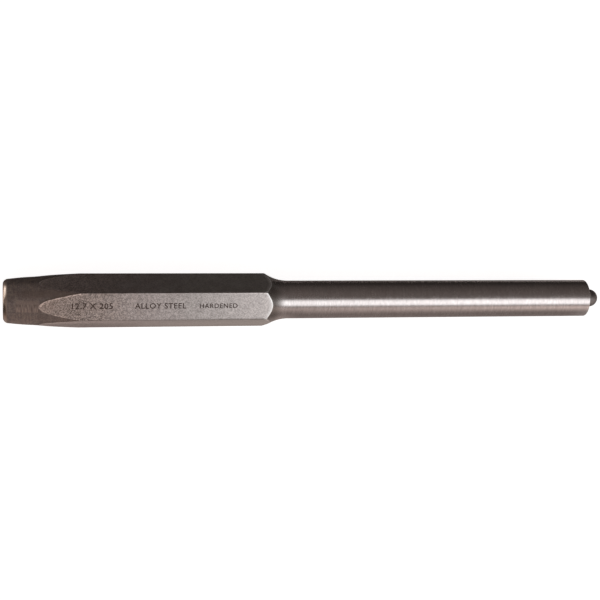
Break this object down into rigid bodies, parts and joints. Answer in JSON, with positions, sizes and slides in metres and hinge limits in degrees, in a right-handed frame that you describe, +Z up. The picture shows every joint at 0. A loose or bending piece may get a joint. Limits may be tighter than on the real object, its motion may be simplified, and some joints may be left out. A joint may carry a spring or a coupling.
{
  "type": "roll pin punch",
  "caption": "One-piece steel roll-pin punch: tapered striking head, hexagonal shank, filleted shoulder, long round drive pin and a domed pilot nub that centres in a spring pin.",
  "frame": {"origin": "centre of the striking face, the flat end that the hammer hits", "axes": "+X along the tool's axis from the striking face to the tip of the pilot nub; +Z up, square to the two flats of the hexagon that lie level when the punch rests on a bench"},
  "size_m": [0.2049, 0.0182, 0.0158],
  "materials": {
    "tool_steel": "dark oxide on the head, shoulder and nub; satin on the hexagon's flats; ground on the drive pin"
  },
  "bodies": {
    "root": {"punch_body": "tool_steel"}
  },
  "joints": []
}
